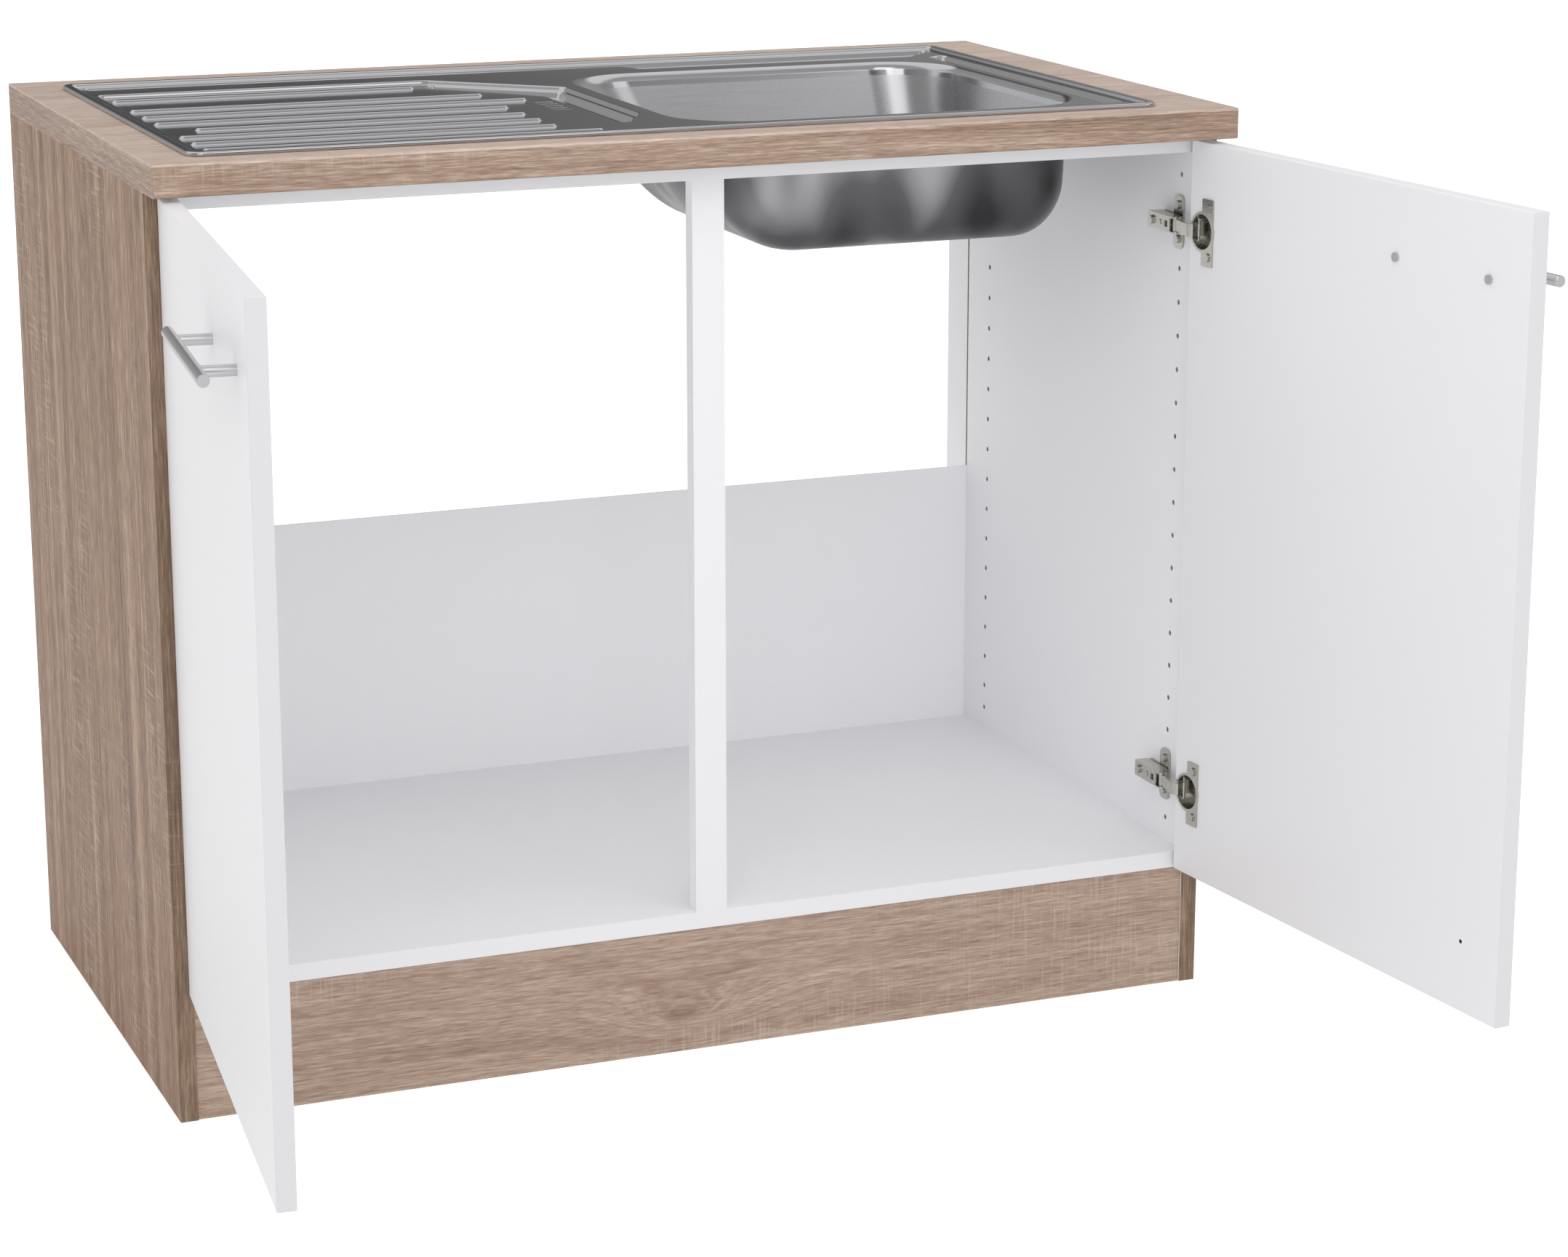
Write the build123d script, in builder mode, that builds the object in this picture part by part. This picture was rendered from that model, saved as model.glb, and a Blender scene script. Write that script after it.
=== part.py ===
from build123d import *
from math import cos, radians, sin, sqrt
import os

# Kitchen sink base unit, 1000 mm wide: oak carcass with a white inside, two hinged doors
# standing open, a laminate worktop and an inset steel sink with one bowl and a drainer.
# X runs to the right, Y to the back, Z up; the floor is Z = 0 and X = 0 is the centre.

# ---------------------------------------------------------------- carcass sizes
unit_w = 1000.0
board = 16.0
side_h = 822.0
side_d = 560.0
plinth_h = 117.5
plinth_set = 2.0
top_rail_d = 30.0
rear_rail_h = 80.0
mullion_w = 30.0
back_t = 3.0
back_h = 290.5
back_set = 51.5
groove_depth = 8.0
groove_play = 0.2
back_play = 0.5

# ---------------------------------------------------------------- worktop
top_t = 28.0
top_front = 40.0
top_edge_r = 2.0

# ---------------------------------------------------------------- doors
door_foot = 0.5
door_side_gap = 1.5
door_top_gap = 4.0
door_gap = 3.0
door_edge_r = 1.0
open_angle = 96.0

# ---------------------------------------------------------------- hinges
hinge_end = 82.0
hinge_row = 37.0
cup_d = 35.0
cup_depth = 11.5
cup_centre = 21.5
cup_wall = 1.2
cup_rim = 1.0
flange_t = 1.5
flange_w = 17.3
flange_h = 62.0
flange_start = 21.6
cup_screw_a = 31.0
cup_screw_z = 22.5
plate_t = 2.5
plate_wing_w = 18.0
plate_wing_h = 50.0
plate_screw_z = 16.0
ridge_h = 9.0
arm_w = 15.0
arm_wall = 1.4
arm_web_x = 18.0
arm_back = 68.0
arm_pin_in = 14.0
arm_pin_back = 20.0
arm_pin_d = 3.0
cup_pin_edge = 9.0
cup_pin_deep = 4.0
cup_pin_d = 2.4
lever_turn = 23.0
lever_t = 2.4
lever_h = 11.4
lever_off = 5.2
eye_wall = 1.0
pin_play = 0.08
notch_play = 0.9

# ---------------------------------------------------------------- handles
bar_d = 10.0
bar_l = 200.0
bar_off = 29.0
post_d = 9.0
post_pitch = 128.0
post_edge = 54.0
handle_down = 62.5
pilot_edge = 52.0
pilot_up = 63.0
pilot_d = 3.0
pilot_depth = 6.0

# ---------------------------------------------------------------- drilled rows and fittings
pin_hole_d = 5.0
pin_hole_depth = 12.0
row_pitch = 32.0
row_first = 244.0
row_count = 15
rear_row = 457.0
rear_first = 180.0
row_low = 156.0
row_high = 780.0
screw_d = 4.0
screw_head_d = 8.0
screw_head_t = 2.4
cam_d = 15.0
cam_depth = 12.5
cam_inset = 34.0
cam_bolt_d = 6.0
cam_thread_d = 5.0
cam_thread_l = 11.0
dowel_d = 8.0
dowel_l = 30.0
floor_cams = (60.0, 440.0)
floor_dowels = (100.0, 400.0)
rail_cam_back = 20.0
rail_dowel_back = 7.0
plinth_dowels = (30.0, 88.0)
rear_dowels = (20.0, 60.0)
bracket_leg = 25.0
bracket_t = 2.0
bracket_w = 20.0
bracket_rows = (90.0, 450.0)
panel_pin_d = 1.6
panel_pin_head = 4.5
panel_pin_l = 20.0
panel_pin_count = 5

# ---------------------------------------------------------------- sink
sink_w = 900.0
sink_shift = -12.0
sink_front = -6.0
sink_back = 56.0
sheet = 1.0
rim_h = 4.0
rim_w = 12.0
rim_r = 14.0
deck_drop = 3.0
ledge_drop = 5.0
drainer_drop = 4.0
rib_h = 2.6
rib_w = 13.0
overflow_l = 18.0
overflow_w = 3.5
overflow_pitch = 15.0
overflow_count = 5
overflow_clear = 5.0
trough_drop = 7.0
bowl_w = 386.0
bowl_right = 50.0
bowl_front = 37.0
bowl_back = 99.0
bowl_r = 66.0
bowl_depth = 127.0
bowl_in_left = 66.0
bowl_in_right = 2.0
bowl_in_front = 13.0
bowl_in_back = 37.0
bowl_foot_r = 72.0
bowl_floor_r = 60.0
waste_d = 52.0
cut_margin = 10.0
cut_r = 8.0
seal_w = 5.0
clip_rail_t = 1.5
clip_rail_h = 12.0
clip_rail_in = 2.0
clamp_t = 1.5
clamp_w = 14.0
clamp_foot = 17.0
clamp_gap = 8.5
clamp_screw_l = 14.0
side_clamp_rows = (160.0, 360.0)
back_clamp_rows = (-330.0, -40.0, 300.0)
layout_w = 900.0
layout_d = 510.0
layout_bowl = 464.0
ledge_xs = (18.0, 548.0, 558.0, 845.0, 882.0, 880.0, 18.0)
ledge_ys = (472.0, 472.0, 445.0, 443.0, 482.0, 492.0, 492.0)
strip_xs = (861.0, 882.0, 882.0, 861.0)
strip_ys = (36.0, 36.0, 467.0, 433.0)
drainer_xs = (18.0, 382.0, 420.0, 442.0, 442.0, 334.0, 18.0)
drainer_ys = (30.0, 30.0, 82.0, 126.0, 334.0, 434.0, 434.0)
trough_xs = (412.0, 422.0, 438.5, 438.5, 335.0, 325.0, 412.0)
trough_ys = (110.0, 92.0, 128.0, 331.0, 427.0, 412.0, 304.0)
rib_start = 25.0
rib_ends = (390.0, 355.0, 355.0, 355.0, 355.0, 388.0, 360.0, 330.0)
rib_rows = (55.0, 97.0, 140.0, 185.0, 235.0, 283.0, 330.0, 405.0)
overflow_mid = 236.0

# ---------------------------------------------------------------- derived places
half_w = unit_w / 2
inner_x = half_w - board
inner_w = 2 * inner_x
floor_top = plinth_h + board
rail_z = side_h - board
top_z = side_h + top_t
door_w = half_w - 2 * door_side_gap
door_z = plinth_h + door_foot
door_h = side_h - door_top_gap - door_z
hinge_rows = (door_z + hinge_end, door_z + door_h - hinge_end)


def turned(x, y, angle):
    c, s = cos(radians(angle)), sin(radians(angle))
    return x * c - y * s, x * s + y * c


# The door hangs on a bent lever: one pin in the fixed arm, one pin in the cup of the door.
# While the door swings through open_angle, the lever turns back by lever_turn.
closed_dx = half_w - door_side_gap - cup_pin_edge - (inner_x - arm_pin_in)
closed_dy = -door_gap - cup_pin_deep - arm_pin_back
pin_dx, pin_dy = turned(closed_dx, closed_dy, -lever_turn)
edge_dx, edge_dy = turned(cup_pin_edge, cup_pin_deep, open_angle)
ux, uy = -cos(radians(open_angle)), -sin(radians(open_angle))
nx, ny = -uy, ux

# The origin is midway between the worktop's back edge and the free edges of the open doors.
corner_back = arm_pin_back + pin_dy + edge_dy
reach = corner_back + (door_w - door_edge_r) * uy + door_edge_r * ny - door_edge_r
front = -(side_d + reach) / 2

arm_pin_x, arm_pin_y = inner_x - arm_pin_in, front + arm_pin_back
cup_pin_x, cup_pin_y = arm_pin_x + pin_dx, arm_pin_y + pin_dy
corner_x, corner_y = cup_pin_x + edge_dx, cup_pin_y + edge_dy


def door_point(a, out, z):
    return corner_x + a * ux + out * nx, corner_y + a * uy + out * ny, z


def door_plan(z):
    return Plane(origin=door_point(0, 0, z), x_dir=(ux, uy, 0), z_dir=(0, 0, 1))


def inside_plane(a, z, out=0.0):
    return Plane(origin=door_point(a, out, z), x_dir=(ux, uy, 0), z_dir=(-nx, -ny, 0))


def side_plane(y, z, x=inner_x):
    return Plane(origin=(x, front + y, z), x_dir=(0, 1, 0), z_dir=(-1, 0, 0))


def up_plane(x, y, z):
    return Plane(origin=(x, y, z), x_dir=(1, 0, 0), z_dir=(0, 0, 1))


def front_plane(x, y, z):
    return Plane(origin=(x, y, z), x_dir=(1, 0, 0), z_dir=(0, -1, 0))


def save(part, name):
    part.label = name
    export_step(part, "parts/" + name + ".step")


def save_pair(part, name):
    save(part, name + "_right")
    save(mirror(part, about=Plane.YZ), name + "_left")


os.makedirs("parts", exist_ok=True)

# ---------------------------------------------------------------- side panels
row_heights = [row_first + row_pitch * i for i in range(row_count)]
rear_heights = [rear_first + row_pitch * i for i in range(row_count)]
plate_heights = [z + s * plate_screw_z for z in hinge_rows for s in (-1, 1)]
front_holes = row_heights + [row_low, row_high] + plate_heights
rear_holes = rear_heights + [row_low]
cam_points = [(y, plinth_h + board / 2) for y in floor_cams]
cam_points = cam_points + [(rail_cam_back, side_h - board / 2)]
dowel_points = [(y, plinth_h + board / 2) for y in floor_dowels]
dowel_points = dowel_points + [(rail_dowel_back, side_h - board / 2)]
dowel_points = dowel_points + [(plinth_set + board / 2, z) for z in plinth_dowels]
dowel_points = dowel_points + [(side_d - board / 2, side_h - z) for z in rear_dowels]
bracket_screw_z = side_h - bracket_leg / 2 - bracket_t / 2
groove_y = side_d - back_set
dowel_in = dowel_l / 2 - board / 4

with BuildPart() as side_panel:
    with BuildSketch(up_plane(inner_x, front, 0)):
        Rectangle(board, side_d, align=(Align.MIN, Align.MIN))
    extrude(amount=side_h)
    with BuildSketch(side_plane(0, 0)):
        with Locations(*[(hinge_row, -z) for z in front_holes]):
            Circle(pin_hole_d / 2)
        with Locations(*[(rear_row, -z) for z in rear_holes]):
            Circle(pin_hole_d / 2)
    extrude(amount=-pin_hole_depth, mode=Mode.SUBTRACT)
    with BuildSketch(side_plane(0, 0)):
        with Locations(*[(y, -z) for y, z in cam_points]):
            Circle(cam_thread_d / 2)
    extrude(amount=-cam_thread_l, mode=Mode.SUBTRACT)
    with BuildSketch(side_plane(0, 0)):
        with Locations(*[(y, -z) for y, z in dowel_points]):
            Circle(dowel_d / 2)
    extrude(amount=-dowel_in, mode=Mode.SUBTRACT)
    with BuildSketch(side_plane(0, 0)):
        with Locations(*[(y, -bracket_screw_z) for y in bracket_rows]):
            Circle(screw_d / 2)
    extrude(amount=-pin_hole_depth, mode=Mode.SUBTRACT)
    with BuildSketch(up_plane(inner_x, front + groove_y - groove_play, 0)):
        Rectangle(groove_depth, back_t + 2 * groove_play, align=(Align.MIN, Align.MIN))
    extrude(amount=side_h, mode=Mode.SUBTRACT)
save_pair(side_panel.part, "side_panel")

# ---------------------------------------------------------------- floor panel, plinth and rails
side_dowel_out = dowel_l - dowel_in
mullion_y = front + board / 2

with BuildPart() as floor_panel:
    with BuildSketch(up_plane(0, front, plinth_h)):
        Rectangle(inner_w, groove_y, align=(Align.CENTER, Align.MIN))
    extrude(amount=board)
    for s in (-1, 1):
        for y in floor_cams:
            with BuildSketch(up_plane(s * (inner_x - cam_inset), front + y, plinth_h)):
                Circle(cam_d / 2)
            extrude(amount=cam_depth, mode=Mode.SUBTRACT)
            spot = Plane(origin=(s * inner_x, front + y, plinth_h + board / 2), z_dir=(-s, 0, 0))
            with BuildSketch(spot):
                Circle(cam_bolt_d / 2)
            extrude(amount=cam_inset, mode=Mode.SUBTRACT)
        for y in floor_dowels:
            spot = Plane(origin=(s * inner_x, front + y, plinth_h + board / 2), z_dir=(-s, 0, 0))
            with BuildSketch(spot):
                Circle(dowel_d / 2)
            extrude(amount=side_dowel_out, mode=Mode.SUBTRACT)
    with BuildSketch(up_plane(0, mullion_y, plinth_h)):
        Circle(screw_d / 2)
    extrude(amount=board, mode=Mode.SUBTRACT)
    with BuildSketch(up_plane(0, mullion_y, plinth_h)):
        Circle(screw_head_d / 2)
    extrude(amount=screw_head_t, mode=Mode.SUBTRACT)
    pin_plane = front_plane(0, front + groove_y, plinth_h + board / 2)
    with BuildSketch(pin_plane):
        with GridLocations(inner_w / panel_pin_count, 1, panel_pin_count, 1):
            Circle(panel_pin_d / 2)
    extrude(amount=panel_pin_l - back_t, mode=Mode.SUBTRACT)
save(floor_panel.part, "floor_panel")

with BuildPart() as plinth_panel:
    with BuildSketch(up_plane(0, front + plinth_set, 0)):
        Rectangle(inner_w, board, align=(Align.CENTER, Align.MIN))
    extrude(amount=plinth_h)
    for s in (-1, 1):
        for z in plinth_dowels:
            spot = Plane(origin=(s * inner_x, front + plinth_set + board / 2, z), z_dir=(-s, 0, 0))
            with BuildSketch(spot):
                Circle(dowel_d / 2)
            extrude(amount=side_dowel_out, mode=Mode.SUBTRACT)
save(plinth_panel.part, "plinth_panel")

with BuildPart() as front_top_rail:
    with BuildSketch(up_plane(0, front, rail_z)):
        Rectangle(inner_w, top_rail_d, align=(Align.CENTER, Align.MIN))
    extrude(amount=board)
    for s in (-1, 1):
        with BuildSketch(up_plane(s * (inner_x - cam_inset), front + rail_cam_back, rail_z)):
            Circle(cam_d / 2)
        extrude(amount=cam_depth, mode=Mode.SUBTRACT)
        spot = Plane(origin=(s * inner_x, front + rail_cam_back, rail_z + board / 2), z_dir=(-s, 0, 0))
        with BuildSketch(spot):
            Circle(cam_bolt_d / 2)
        extrude(amount=cam_inset, mode=Mode.SUBTRACT)
        spot = Plane(origin=(s * inner_x, front + rail_dowel_back, rail_z + board / 2), z_dir=(-s, 0, 0))
        with BuildSketch(spot):
            Circle(dowel_d / 2)
        extrude(amount=side_dowel_out, mode=Mode.SUBTRACT)
    with BuildSketch(up_plane(0, mullion_y, rail_z)):
        Circle(screw_d / 2)
    extrude(amount=board, mode=Mode.SUBTRACT)
    with BuildSketch(up_plane(0, mullion_y, side_h - screw_head_t)):
        Circle(screw_head_d / 2)
    extrude(amount=screw_head_t, mode=Mode.SUBTRACT)
save(front_top_rail.part, "front_top_rail")

with BuildPart() as rear_top_rail:
    with BuildSketch(up_plane(0, front + side_d - board, side_h - rear_rail_h)):
        Rectangle(inner_w, board, align=(Align.CENTER, Align.MIN))
    extrude(amount=rear_rail_h)
    for s in (-1, 1):
        for z in rear_dowels:
            spot = Plane(origin=(s * inner_x, front + side_d - board / 2, side_h - z), z_dir=(-s, 0, 0))
            with BuildSketch(spot):
                Circle(dowel_d / 2)
            extrude(amount=side_dowel_out, mode=Mode.SUBTRACT)
save(rear_top_rail.part, "rear_top_rail")

mullion_screw_l = 40.0
with BuildPart() as centre_mullion:
    with BuildSketch(up_plane(0, front, floor_top)):
        Rectangle(mullion_w, board, align=(Align.CENTER, Align.MIN))
    extrude(amount=rail_z - floor_top)
    with BuildSketch(up_plane(0, mullion_y, floor_top)):
        Circle(screw_d / 2)
    extrude(amount=mullion_screw_l - board, mode=Mode.SUBTRACT)
    with BuildSketch(up_plane(0, mullion_y, rail_z)):
        Circle(screw_d / 2)
    extrude(amount=board - mullion_screw_l, mode=Mode.SUBTRACT)
save(centre_mullion.part, "centre_mullion")

with BuildPart() as mullion_screws:
    for z, way in ((plinth_h, 1), (side_h, -1)):
        with BuildSketch(up_plane(0, mullion_y, z)):
            Circle(screw_head_d / 2)
        extrude(amount=way * screw_head_t)
        with BuildSketch(up_plane(0, mullion_y, z)):
            Circle(screw_d / 2)
        extrude(amount=way * mullion_screw_l)
save(mullion_screws.part, "mullion_screws")

with BuildPart() as back_panel:
    with BuildSketch(up_plane(0, front + groove_y, plinth_h)):
        Rectangle(inner_w + 2 * (groove_depth - back_play), back_t, align=(Align.CENTER, Align.MIN))
    extrude(amount=back_h)
    with BuildSketch(pin_plane):
        with GridLocations(inner_w / panel_pin_count, 1, panel_pin_count, 1):
            Circle(panel_pin_d / 2)
    extrude(amount=-back_t, mode=Mode.SUBTRACT)
save(back_panel.part, "back_panel")

with BuildPart() as back_panel_pins:
    head_plane = pin_plane.offset(-back_t)
    with BuildSketch(head_plane):
        with GridLocations(inner_w / panel_pin_count, 1, panel_pin_count, 1):
            Circle(panel_pin_head / 2)
    extrude(amount=-0.8)
    with BuildSketch(head_plane):
        with GridLocations(inner_w / panel_pin_count, 1, panel_pin_count, 1):
            Circle(panel_pin_d / 2)
    extrude(amount=panel_pin_l)
save(back_panel_pins.part, "back_panel_pins")

# ---------------------------------------------------------------- cams, bolts and dowels
board_fits = [(s, y, plinth_h) for s in (-1, 1) for y in floor_cams]
board_fits = board_fits + [(s, rail_cam_back, rail_z) for s in (-1, 1)]
with BuildPart() as cam_housings:
    for s, y, z in board_fits:
        with BuildSketch(up_plane(s * (inner_x - cam_inset), front + y, z)):
            Circle(cam_d / 2)
        extrude(amount=cam_depth)
        with BuildSketch(up_plane(s * (inner_x - cam_inset), front + y, z)):
            Rectangle(cam_d / 2, 1.5)
            Rectangle(1.5, cam_d / 2)
        extrude(amount=2.0, mode=Mode.SUBTRACT)
save(cam_housings.part, "cam_housings")

with BuildPart() as cam_bolts:
    for s, y, z in board_fits:
        spot = Plane(origin=(s * inner_x, front + y, z + board / 2), z_dir=(-s, 0, 0))
        with BuildSketch(spot):
            Circle(cam_bolt_d / 2)
        extrude(amount=cam_inset - cam_d / 2 - 0.6)
        with BuildSketch(spot):
            Circle(cam_thread_d / 2)
        extrude(amount=-cam_thread_l)
save(cam_bolts.part, "cam_bolts")

with BuildPart() as dowels:
    for s in (-1, 1):
        for y, z in dowel_points:
            spot = Plane(origin=(s * (inner_x + dowel_in), front + y, z), z_dir=(-s, 0, 0))
            with BuildSketch(spot):
                Circle(dowel_d / 2)
            extrude(amount=dowel_l)
save(dowels.part, "dowels")

# ---------------------------------------------------------------- worktop
sink_x0 = sink_shift + (unit_w - sink_w) / 2 - half_w
sink_x1 = sink_x0 + sink_w
sink_y0 = front + sink_front
sink_y1 = front + side_d - sink_back
sink_d = sink_y1 - sink_y0
sink_cx = (sink_x0 + sink_x1) / 2
sink_cy = (sink_y0 + sink_y1) / 2
bracket_x = inner_x - bracket_leg / 2 - bracket_t / 2

with BuildPart() as worktop:
    with BuildSketch(up_plane(0, front - top_front, side_h)):
        Rectangle(unit_w, side_d + top_front, align=(Align.CENTER, Align.MIN))
    extrude(amount=top_t)
    fillet(worktop.edges().filter_by(Axis.X).group_by(Axis.Y)[0], top_edge_r)
    with BuildSketch(up_plane(sink_cx, sink_cy, side_h)):
        RectangleRounded(sink_w - 2 * cut_margin, sink_d - 2 * cut_margin, cut_r)
    extrude(amount=top_t, mode=Mode.SUBTRACT)
    for s in (-1, 1):
        for y in bracket_rows:
            with BuildSketch(up_plane(s * bracket_x, front + y, side_h)):
                Circle(screw_d / 2)
            extrude(amount=pin_hole_depth, mode=Mode.SUBTRACT)
save(worktop.part, "worktop")

with BuildPart() as worktop_brackets:
    for s in (-1, 1):
        for y in bracket_rows:
            corner = (s * inner_x, front + y - bracket_w / 2, side_h)
            spot = Plane(origin=corner, x_dir=(-s, 0, 0), z_dir=(0, 1, 0))
            with BuildSketch(spot):
                with BuildLine():
                    Polyline((0, 0), (bracket_leg, 0), (bracket_leg, -s * bracket_t), (bracket_t, -s * bracket_t),
                             (bracket_t, -s * bracket_leg), (0, -s * bracket_leg), close=True)
                make_face()
            extrude(amount=bracket_w)
            with BuildSketch(up_plane(s * bracket_x, front + y, side_h)):
                Circle(screw_d / 2)
            extrude(amount=-bracket_t, mode=Mode.SUBTRACT)
            wall = Plane(origin=(s * inner_x, front + y, bracket_screw_z), z_dir=(-s, 0, 0))
            with BuildSketch(wall):
                Circle(screw_d / 2)
            extrude(amount=bracket_t, mode=Mode.SUBTRACT)
save(worktop_brackets.part, "worktop_brackets")

with BuildPart() as bracket_screws:
    for s in (-1, 1):
        for y in bracket_rows:
            below = up_plane(s * bracket_x, front + y, side_h - bracket_t)
            wall = Plane(origin=(s * (inner_x - bracket_t), front + y, bracket_screw_z), z_dir=(s, 0, 0))
            for spot in (below, wall):
                with BuildSketch(spot):
                    Circle(screw_head_d / 2)
                extrude(amount=-screw_head_t)
                with BuildSketch(spot):
                    Circle(screw_d / 2)
                extrude(amount=bracket_t + pin_hole_depth)
save(bracket_screws.part, "bracket_screws")

# ---------------------------------------------------------------- sink
deck_z = top_z + rim_h - deck_drop
drainer_z = deck_z - drainer_drop
bowl_x1 = sink_x1 - bowl_right
bowl_x0 = bowl_x1 - bowl_w
bowl_l = side_d - sink_back - bowl_back - bowl_front
bowl_x = (bowl_x0 + bowl_x1) / 2
bowl_y = front + bowl_front + bowl_l / 2
foot_w = bowl_w - bowl_in_left - bowl_in_right
foot_l = bowl_l - bowl_in_front - bowl_in_back
foot_x = bowl_x + (bowl_in_left - bowl_in_right) / 2
foot_y = bowl_y + (bowl_in_front - bowl_in_back) / 2


# The tables of corners are laid out from the sink's front left corner. The drainer's keep
# clear of the bowl, and the ledge and the strip follow the sink's edges.
def deck_at(x, y):
    return sink_x0 + x * sink_w / layout_w, sink_y0 + y * sink_d / layout_d


def drain_at(x, y):
    return sink_x0 + x * (bowl_x0 - sink_x0) / layout_bowl, sink_y0 + y * sink_d / layout_d


ledge_outline = [deck_at(x, y) for x, y in zip(ledge_xs, ledge_ys)]
strip_outline = [deck_at(x, y) for x, y in zip(strip_xs, strip_ys)]
drainer_outline = [drain_at(x, y) for x, y in zip(drainer_xs, drainer_ys)]
trough_outline = [drain_at(x, y) for x, y in zip(trough_xs, trough_ys)]
pressings = [(ledge_outline, deck_z, ledge_drop, 6.0), (strip_outline, deck_z, ledge_drop, 6.0),
             (drainer_outline, deck_z, drainer_drop, 6.0), (trough_outline, drainer_z, trough_drop, 6.5)]
press_slope = 30.0

with BuildPart() as sink:
    with BuildSketch(up_plane(sink_cx, sink_cy, top_z)):
        RectangleRounded(sink_w, sink_d, rim_r)
    extrude(amount=rim_h)
    fillet(sink.edges().group_by(Axis.Z)[-1], rim_h / 2)
    with BuildSketch(up_plane(sink_cx, sink_cy, deck_z)):
        RectangleRounded(sink_w - 2 * rim_w, sink_d - 2 * rim_w, rim_r - sheet)
    extrude(amount=deck_drop, mode=Mode.SUBTRACT)
    with BuildSketch(up_plane(sink_cx, sink_cy, top_z)):
        RectangleRounded(sink_w - 2 * sheet, sink_d - 2 * sheet, rim_r - sheet)
        inside = rim_w - sheet
        RectangleRounded(sink_w - 2 * inside, sink_d - 2 * inside, rim_r - sheet, mode=Mode.SUBTRACT)
    extrude(amount=rim_h - sheet, mode=Mode.SUBTRACT)
    for outline, z, drop, r in pressings:
        with BuildSketch(up_plane(0, 0, z)) as pressing:
            Polygon(*outline, align=None)
            fillet(pressing.vertices(), r)
            offset(amount=sheet)
        extrude(amount=-drop - sheet, taper=press_slope)
    with BuildSketch(up_plane(bowl_x, bowl_y, deck_z)):
        RectangleRounded(bowl_w + 2 * sheet, bowl_l + 2 * sheet, bowl_r + sheet)
    with BuildSketch(up_plane(foot_x, foot_y, deck_z - bowl_depth - sheet)):
        RectangleRounded(foot_w + 2 * sheet, foot_l + 2 * sheet, bowl_foot_r + sheet)
    loft(ruled=True)
    fillet(sink.edges().group_by(Axis.Z)[0], bowl_floor_r + sheet)
    with BuildPart(mode=Mode.PRIVATE) as hollow:
        with BuildSketch(up_plane(bowl_x, bowl_y, deck_z + rim_h)):
            RectangleRounded(bowl_w, bowl_l, bowl_r)
        extrude(amount=-rim_h)
        with BuildSketch(up_plane(bowl_x, bowl_y, deck_z)):
            RectangleRounded(bowl_w, bowl_l, bowl_r)
        with BuildSketch(up_plane(foot_x, foot_y, deck_z - bowl_depth)):
            RectangleRounded(foot_w, foot_l, bowl_foot_r)
        loft(ruled=True)
        fillet(hollow.edges().group_by(Axis.Z)[0], bowl_floor_r)
    add(hollow.part, mode=Mode.SUBTRACT)
    for outline, z, drop, r in pressings:
        with BuildSketch(up_plane(0, 0, z)) as pressing:
            Polygon(*outline, align=None)
            fillet(pressing.vertices(), r)
        extrude(amount=-drop, taper=press_slope, mode=Mode.SUBTRACT)
    for y, end in zip(rib_rows, rib_ends):
        rib_x0, rib_y = drain_at(rib_start, y)
        rib_x1 = drain_at(end, y)[0]
        with BuildSketch(up_plane((rib_x0 + rib_x1) / 2, rib_y, drainer_z)):
            SlotOverall(rib_x1 - rib_x0, rib_w)
        extrude(amount=rib_h, taper=press_slope)
    slots_x, slots_y = drain_at(trough_xs[0], overflow_mid)
    with BuildSketch(up_plane(slots_x - overflow_clear - overflow_l / 2, slots_y, drainer_z)):
        with GridLocations(overflow_pitch, overflow_pitch, 1, overflow_count):
            SlotOverall(overflow_l, overflow_w)
    extrude(amount=-sheet, mode=Mode.SUBTRACT)
    with BuildSketch(up_plane(foot_x, foot_y, deck_z - bowl_depth)):
        Circle(waste_d / 2)
    extrude(amount=-sheet, mode=Mode.SUBTRACT)

# The bowl is a pressing of its own, welded to the underside of the deck round its mouth.
with BuildPart() as sink_deck:
    add(sink.part)
    with BuildSketch(up_plane(bowl_x, bowl_y, deck_z - sheet)):
        Rectangle(bowl_w + 4 * sheet, bowl_l + 4 * sheet)
    extrude(amount=-bowl_depth - sheet, mode=Mode.SUBTRACT)
save(sink_deck.part, "sink_deck")

with BuildPart() as sink_bowl:
    add(sink.part)
    with BuildSketch(up_plane(bowl_x, bowl_y, deck_z - sheet)):
        Rectangle(bowl_w + 4 * sheet, bowl_l + 4 * sheet)
    extrude(amount=-bowl_depth - sheet, mode=Mode.INTERSECT)
save(sink_bowl.part, "sink_bowl")

with BuildPart() as sink_seal:
    seal_in = 2 * sheet
    with BuildSketch(up_plane(sink_cx, sink_cy, top_z)):
        RectangleRounded(sink_w - 2 * seal_in, sink_d - 2 * seal_in, rim_r - seal_in)
        seal_out = seal_in + seal_w
        RectangleRounded(sink_w - 2 * seal_out, sink_d - 2 * seal_out, rim_r - seal_out, mode=Mode.SUBTRACT)
    extrude(amount=rim_h - sheet)
save(sink_seal.part, "sink_seal")

rail_face = rim_w + 0.5
clip_x0, clip_x1, clip_y1 = sink_x0 + rail_face, sink_x1 - rail_face, sink_y1 - rail_face
side_rail_l = 320.0
back_rail_l = 760.0
with BuildPart() as sink_rails:
    with BuildSketch(up_plane(0, 0, deck_z - sheet)):
        with Locations((clip_x0 + clip_rail_t / 2, sink_cy), (clip_x1 - clip_rail_t / 2, sink_cy)):
            Rectangle(clip_rail_t, side_rail_l)
        with Locations((sink_cx, clip_y1 - clip_rail_t / 2)):
            Rectangle(back_rail_l, clip_rail_t)
    extrude(amount=-clip_rail_h)
save(sink_rails.part, "sink_rails")

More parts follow.
